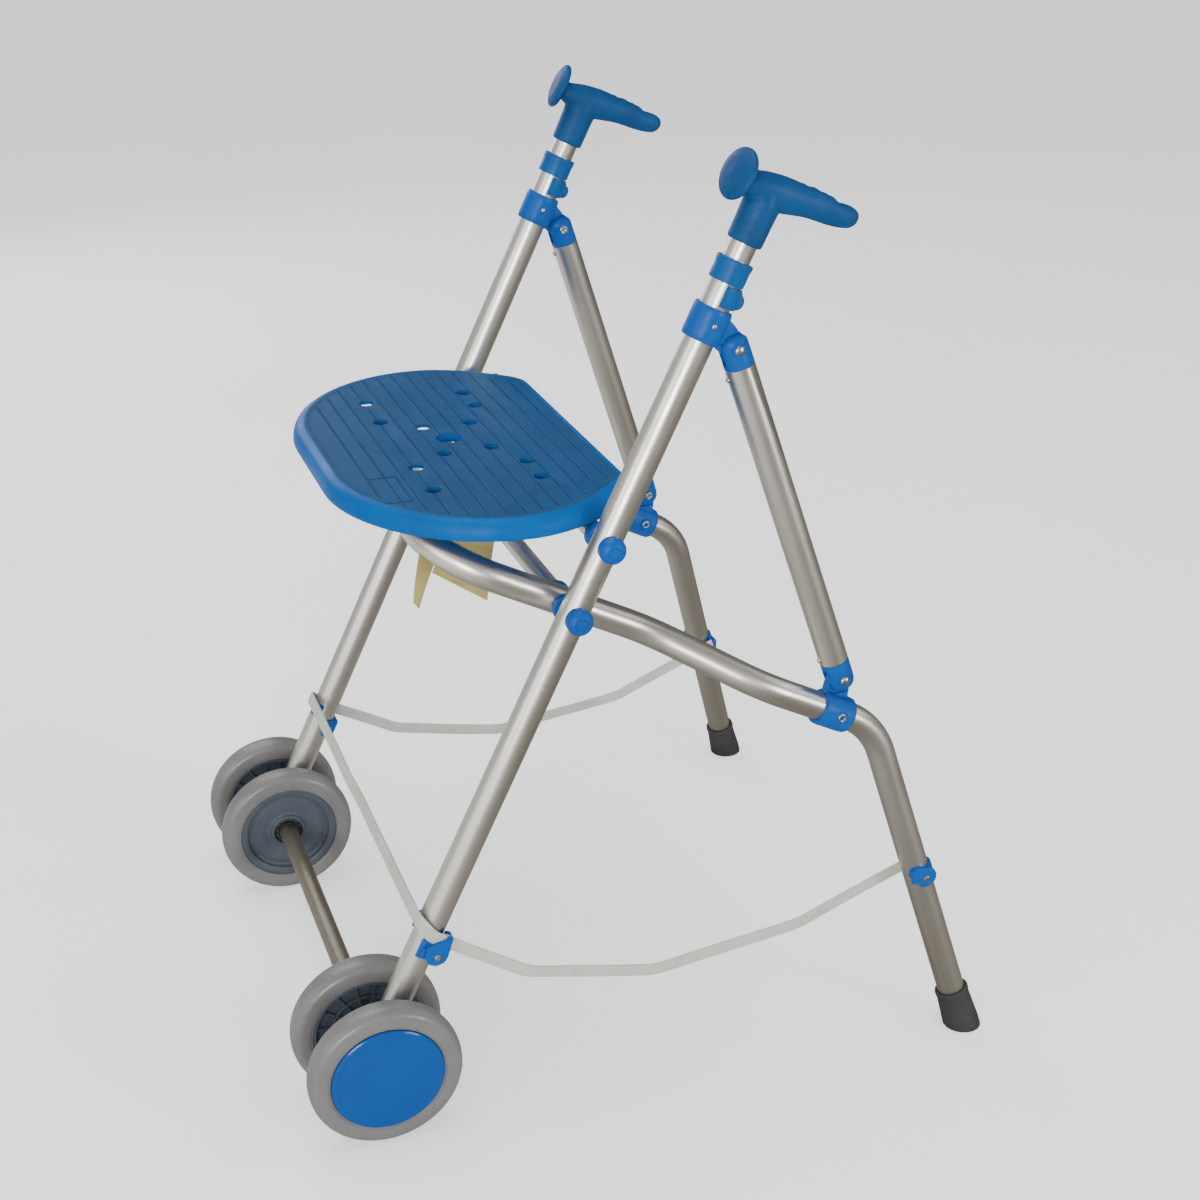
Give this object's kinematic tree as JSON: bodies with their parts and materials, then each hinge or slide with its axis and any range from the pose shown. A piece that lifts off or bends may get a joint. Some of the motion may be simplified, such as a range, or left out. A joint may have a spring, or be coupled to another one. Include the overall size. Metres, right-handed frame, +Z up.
{
  "type": "folding walking frame with seat",
  "caption": "Folding tubular walking frame with a plastic flap seat, twin front wheels each side, rubber-tipped rear legs, braced struts and height-adjustable pistol grips.",
  "frame": {"origin": "on the floor under the middle of the bounding box", "axes": "+X the user's left, +Y the rear legs' side where the user stands, -Y the wheels, +Z up"},
  "size_m": [0.657, 0.702, 0.9127],
  "materials": {
    "tube": "satin anodised",
    "blue": "moulded",
    "grip": "soft matte",
    "gloss": "polished",
    "seat": "grooved, worn satin",
    "steel": "plated",
    "tyre": "matt light grey",
    "hub": "moulded",
    "tip": "matt",
    "strap": "smooth"
  },
  "bodies": {
    "front_frame": {"front_leg_left": "tube", "upper_collar_left": "blue", "guide_bushing_left": "blue", "front_strap_bracket_left": "blue", "pivot_cap_left": "blue", "seat_bar_cap_left": "blue", "pivot_spacer_left": "blue", "seat_bar_ring_left": "blue", "side_strap_left": "strap", "front_leg_right": "tube", "upper_collar_right": "blue", "guide_bushing_right": "blue", "front_strap_bracket_right": "blue", "pivot_cap_right": "blue", "seat_bar_cap_right": "blue", "pivot_spacer_right": "blue", "seat_bar_ring_right": "blue", "side_strap_right": "strap", "lower_cross_tube": "tube", "upper_cross_tube": "tube", "wheel_axle": "tube", "front_strap": "strap"},
    "rear_frame": {"seat_frame_tube": "tube", "rubber_tip_left": "tip", "saddle_left": "blue", "rear_strap_bracket_left": "blue", "rubber_tip_right": "tip", "saddle_right": "blue", "rear_strap_bracket_right": "blue"},
    "seat": {"seat": "seat"},
    "handle_left": {"handle_tube_left": "tube", "grip_left": "grip"},
    "clip_left": {"lock_clip_left": "blue"},
    "link_left": {"link_tube_left": "tube", "link_upper_fork_left": "blue", "upper_pin_left": "steel"},
    "strut_left": {"link_rod_left": "tube", "link_lower_fork_left": "blue", "lower_pin_left": "steel"},
    "wheel_outer_left": {"tyre_outer_left": "tyre", "hub_outer_left": "hub", "hub_cap_left": "gloss"},
    "wheel_inner_left": {"tyre_inner_left": "tyre", "hub_inner_left": "hub"},
    "handle_right": {"handle_tube_right": "tube", "grip_right": "grip"},
    "clip_right": {"lock_clip_right": "blue"},
    "link_right": {"link_tube_right": "tube", "link_upper_fork_right": "blue", "upper_pin_right": "steel"},
    "strut_right": {"link_rod_right": "tube", "link_lower_fork_right": "blue", "lower_pin_right": "steel"},
    "wheel_outer_right": {"tyre_outer_right": "tyre", "hub_outer_right": "hub", "hub_cap_right": "gloss"},
    "wheel_inner_right": {"tyre_inner_right": "tyre", "hub_inner_right": "hub"}
  },
  "joints": [
    {"name": "fold", "type": "hinge", "parent": "front_frame", "child": "rear_frame", "pos_m": [0, -0.07055, 0.50305], "axis": [-1, 0, 0], "range_deg": [0, 40], "deforming": ["side_strap_left", "side_strap_right"]},
    {"name": "seat_hinge", "type": "hinge", "parent": "front_frame", "child": "seat", "pos_m": [0, -0.0393, 0.56814], "axis": [-1, 0, 0], "range_deg": [0, 38]},
    {"name": "wheel_outer_left_spin", "type": "hinge", "parent": "front_frame", "child": "wheel_outer_left", "pos_m": [0, -0.276, 0.075], "axis": [1, 0, 0], "continuous": true},
    {"name": "wheel_inner_left_spin", "type": "hinge", "parent": "front_frame", "child": "wheel_inner_left", "pos_m": [0, -0.276, 0.075], "axis": [1, 0, 0], "continuous": true},
    {"name": "handle_left_height", "type": "slide", "parent": "front_frame", "child": "handle_left", "axis": [0, 0.4327, 0.9015], "range_m": [0, 0.09]},
    {"name": "clip_left_release", "type": "slide", "parent": "front_frame", "child": "clip_left", "axis": [0, 0.9015, -0.4327], "range_m": [0, 0.004], "stiffness_N_per_m": 400},
    {"name": "link_left_top", "type": "hinge", "parent": "front_frame", "child": "link_left", "pos_m": [0.2348, 0.0789, 0.7393], "axis": [-1, 0, 0], "range_deg": [0, 21]},
    {"name": "strut_left_bottom", "type": "hinge", "parent": "rear_frame", "child": "strut_left", "pos_m": [0.2555, 0.1905, 0.407], "axis": [-1, 0, 0], "range_deg": [-21, 0]},
    {"name": "wheel_outer_right_spin", "type": "hinge", "parent": "front_frame", "child": "wheel_outer_right", "pos_m": [0, -0.276, 0.075], "axis": [1, 0, 0], "continuous": true},
    {"name": "wheel_inner_right_spin", "type": "hinge", "parent": "front_frame", "child": "wheel_inner_right", "pos_m": [0, -0.276, 0.075], "axis": [1, 0, 0], "continuous": true},
    {"name": "handle_right_height", "type": "slide", "parent": "front_frame", "child": "handle_right", "axis": [0, 0.4327, 0.9015], "range_m": [0, 0.09]},
    {"name": "clip_right_release", "type": "slide", "parent": "front_frame", "child": "clip_right", "axis": [0, 0.9015, -0.4327], "range_m": [0, 0.004], "stiffness_N_per_m": 400},
    {"name": "link_right_top", "type": "hinge", "parent": "front_frame", "child": "link_right", "pos_m": [-0.2348, 0.0789, 0.7393], "axis": [-1, 0, 0], "range_deg": [0, 21]},
    {"name": "strut_right_bottom", "type": "hinge", "parent": "rear_frame", "child": "strut_right", "pos_m": [-0.2555, 0.1905, 0.407], "axis": [-1, 0, 0], "range_deg": [-21, 0]}
  ],
  "couplings": [
    {"joint": "seat_hinge", "follows": "fold", "ratio": 0.93},
    {"joint": "link_left_top", "follows": "fold", "ratio": 0.4978},
    {"joint": "strut_left_bottom", "follows": "fold", "ratio": -0.5022},
    {"joint": "link_right_top", "follows": "fold", "ratio": 0.4978},
    {"joint": "strut_right_bottom", "follows": "fold", "ratio": -0.5022}
  ]
}
